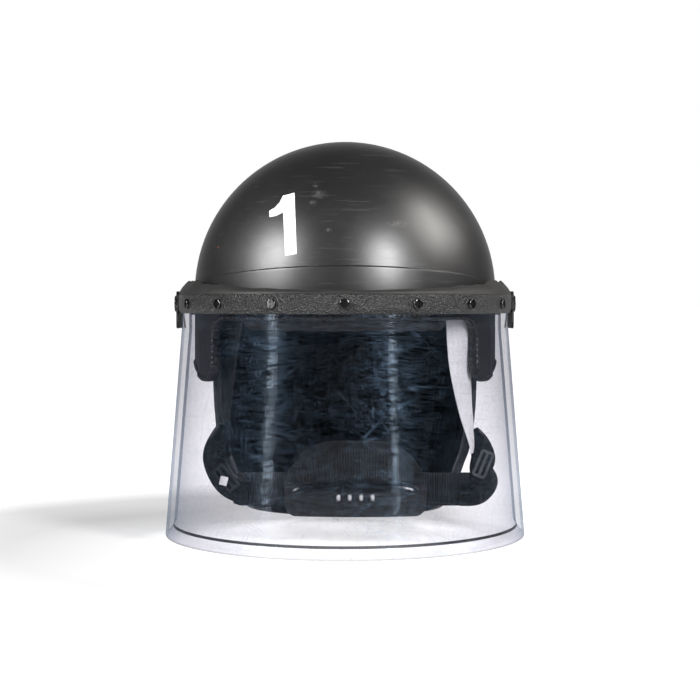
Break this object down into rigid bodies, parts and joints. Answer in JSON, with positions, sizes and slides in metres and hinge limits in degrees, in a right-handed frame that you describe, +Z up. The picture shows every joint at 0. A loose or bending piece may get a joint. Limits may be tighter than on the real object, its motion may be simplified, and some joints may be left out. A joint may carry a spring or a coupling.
{
  "type": "riot helmet",
  "caption": "Hard riot helmet with a flip-up clear face shield, padded neck protector and a chin cup on webbing.",
  "frame": {"origin": "centre of the footprint on the surface it stands on", "axes": "+Z up, the face opening towards -Y, the pivot screws along X"},
  "size_m": [0.2908, 0.3146, 0.317],
  "materials": {
    "shell_paint": "satin dark charcoal, lightly scuffed",
    "edge_rubber": "roped bead",
    "foam": "matte foam",
    "pad_cloth": "woven pad cover",
    "brow_cloth": "sweatband leatherette",
    "apron": "coated cloth, semi-gloss",
    "piping": "bound edge",
    "black_plastic": "moulded",
    "dark_steel": "blackened screws",
    "clear_shield": "clear polycarbonate with fine scratches",
    "band_plastic": "wrinkle texture",
    "gasket_rubber": "soft dull rubber",
    "webbing": "ribbed webbing",
    "slider_metal": "worn wire buckle",
    "white_tag": "plain white cloth tag",
    "cup_plastic": "smoky translucent moulding",
    "white_lining": "white felt",
    "copper_leaf": "copper coloured spring strip"
  },
  "bodies": {
    "helmet": {"brow_pad": "brow_cloth", "carrier_rivets": "dark_steel", "chin_webbing": "webbing", "collar_carrier": "black_plastic", "crown_pad": "pad_cloth", "ear_pad_left": "pad_cloth", "ear_pad_right": "pad_cloth", "impact_liner": "foam", "neck_protector": "apron", "neck_protector_piping": "piping", "pivot_nut_left": "dark_steel", "pivot_nut_right": "dark_steel", "pivot_screw_left": "dark_steel", "pivot_screw_right": "dark_steel", "pivot_spacer_left": "black_plastic", "pivot_spacer_right": "black_plastic", "pivot_washer_left": "dark_steel", "pivot_washer_right": "dark_steel", "rear_pad": "pad_cloth", "shell": "shell_paint", "shell_edge_trim": "edge_rubber", "side_pad_left": "pad_cloth", "side_pad_right": "pad_cloth", "strap_anchor_left": "black_plastic", "strap_anchor_right": "black_plastic", "strap_anchor_rivets": "dark_steel", "strap_left": "webbing", "strap_right": "webbing", "strap_slider_left": "black_plastic", "strap_slider_right": "slider_metal", "strap_tag": "white_tag"},
    "visor": {"face_shield": "clear_shield", "visor_band": "band_plastic", "band_screws": "dark_steel", "band_nuts": "dark_steel", "visor_gasket": "gasket_rubber", "pivot_bushing_left": "black_plastic", "pivot_bushing_right": "black_plastic", "hinge_plate_left": "band_plastic", "hinge_plate_right": "band_plastic", "leaf_spring_left": "copper_leaf", "leaf_spring_right": "copper_leaf"},
    "cup": {"chin_cup": "cup_plastic", "chin_cup_lining": "white_lining", "chin_cup_pad": "webbing"}
  },
  "joints": [
    {"name": "visor_tilt", "type": "hinge", "parent": "helmet", "child": "visor", "pos_m": [0, 0.0077, 0.186], "axis": [-1, 0, 0], "range_deg": [0, 70]},
    {"name": "chin_cup_slide", "type": "slide", "parent": "helmet", "child": "cup", "axis": [1, 0, 0], "range_m": [-0.008, 0.008]}
  ]
}
